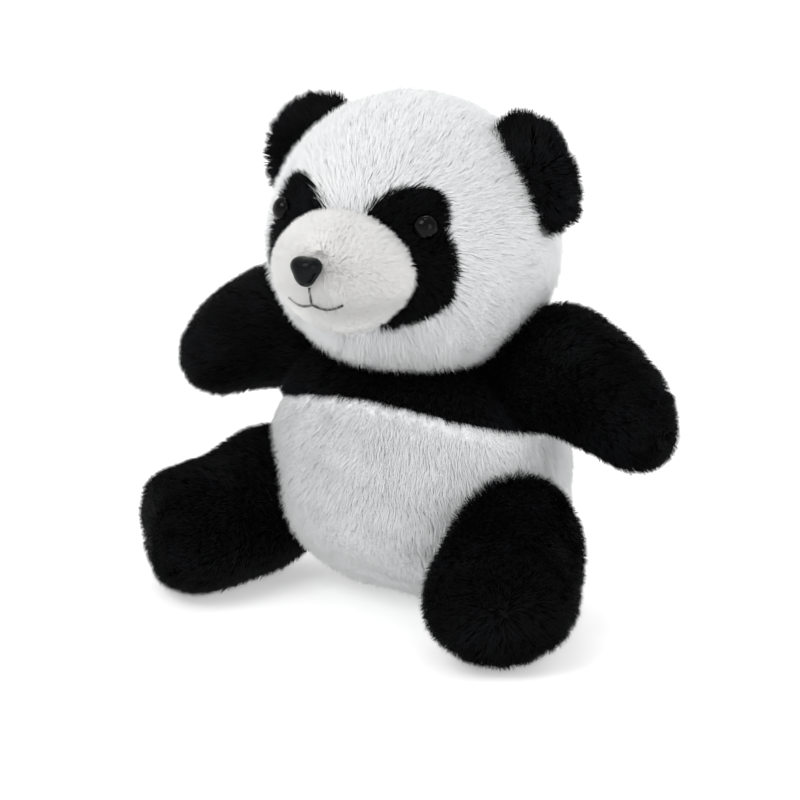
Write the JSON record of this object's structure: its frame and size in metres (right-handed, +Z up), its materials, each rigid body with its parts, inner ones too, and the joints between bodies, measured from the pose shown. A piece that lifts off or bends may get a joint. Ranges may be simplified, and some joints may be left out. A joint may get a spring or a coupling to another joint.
{
  "type": "plush panda",
  "caption": "Sitting plush panda: sewn pile-fabric panels over fibre stuffing, with locked plastic eyes and nose, and a head, arms, legs and ears that bend at their seams.",
  "frame": {"origin": "on the flat seat, straight under the neck, where the seated toy rests", "axes": "+Z up through the head, -Y the way the face looks, +X the toy's own left"},
  "size_m": [0.262, 0.1493, 0.2298],
  "materials": {
    "white_pile": "cut pile, matt",
    "cream_pile": "short cut pile, matt",
    "black_pile": "cut pile, matt",
    "fibre_filling": "loose fibre",
    "white_thread": "sewing thread",
    "black_thread": "embroidery thread",
    "eye_plastic": "polished",
    "nose_plastic": "satin",
    "washer_plastic": "moulded"
  },
  "bodies": {
    "torso": {"yoke_front": "black_pile", "yoke_back": "black_pile", "belly_panel": "white_pile", "back_panel_left": "white_pile", "back_panel_right": "white_pile", "seat_panel": "white_pile", "closing_thread": "white_thread", "torso_stuffing": "fibre_filling"},
    "neck": {"neck_stuffing": "fibre_filling"},
    "head": {"face_panel": "white_pile", "head_back_left": "white_pile", "head_back_right": "white_pile", "head_stuffing": "fibre_filling", "muzzle_panel": "cream_pile", "muzzle_stuffing": "fibre_filling", "nose": "nose_plastic", "nose_washer": "washer_plastic", "philtrum_thread": "black_thread", "mouth_thread": "black_thread", "eye_left": "eye_plastic", "eye_right": "eye_plastic", "eye_washer_left": "washer_plastic", "eye_washer_right": "washer_plastic", "eye_patch_left": "black_pile", "eye_patch_right": "black_pile"},
    "ear_left": {"ear_left_front": "black_pile", "ear_left_back": "black_pile"},
    "ear_right": {"ear_right_front": "black_pile", "ear_right_back": "black_pile"},
    "arm_left": {"arm_left_front": "black_pile", "arm_left_back": "black_pile", "arm_left_stuffing": "fibre_filling"},
    "arm_right": {"arm_right_front": "black_pile", "arm_right_back": "black_pile", "arm_right_stuffing": "fibre_filling"},
    "leg_left": {"leg_left_outer": "black_pile", "leg_left_inner": "black_pile", "leg_left_sole": "black_pile", "leg_left_stuffing": "fibre_filling"},
    "leg_right": {"leg_right_outer": "black_pile", "leg_right_inner": "black_pile", "leg_right_sole": "black_pile", "leg_right_stuffing": "fibre_filling"}
  },
  "joints": [
    {"name": "neck_turn", "type": "hinge", "parent": "torso", "child": "neck", "pos_m": [0, 0.006, 0.106], "axis": [0, 0, 1], "range_deg": [-30, 30], "stiffness_Nm_per_rad": 0.5},
    {"name": "neck_nod", "type": "hinge", "parent": "neck", "child": "head", "pos_m": [0, 0.006, 0.106], "axis": [1, 0, 0], "range_deg": [-8, 7], "stiffness_Nm_per_rad": 1.5},
    {"name": "arm_left_raise", "type": "hinge", "parent": "torso", "child": "arm_left", "pos_m": [0.059, 0.009, 0.098], "axis": [0, -1, 0], "range_deg": [-12, 24], "stiffness_Nm_per_rad": 0.25},
    {"name": "arm_right_raise", "type": "hinge", "parent": "torso", "child": "arm_right", "pos_m": [-0.059, 0.009, 0.098], "axis": [0, 1, 0], "range_deg": [-12, 24], "stiffness_Nm_per_rad": 0.25},
    {"name": "leg_left_spread", "type": "hinge", "parent": "torso", "child": "leg_left", "pos_m": [0.057, -0.018, 0.04], "axis": [0, 0, 1], "range_deg": [-12, 25], "stiffness_Nm_per_rad": 0.3},
    {"name": "leg_right_spread", "type": "hinge", "parent": "torso", "child": "leg_right", "pos_m": [-0.057, -0.018, 0.04], "axis": [0, 0, -1], "range_deg": [-12, 25], "stiffness_Nm_per_rad": 0.3},
    {"name": "ear_left_fold", "type": "hinge", "parent": "head", "child": "ear_left", "pos_m": [0.05754, 0.01061, 0.19766], "axis": [-0.5, 0.0378, 0.8652], "range_deg": [-25, 25], "stiffness_Nm_per_rad": 0.05},
    {"name": "ear_right_fold", "type": "hinge", "parent": "head", "child": "ear_right", "pos_m": [-0.05754, 0.01061, 0.19766], "axis": [-0.5, -0.0378, -0.8652], "range_deg": [-25, 25], "stiffness_Nm_per_rad": 0.05}
  ]
}
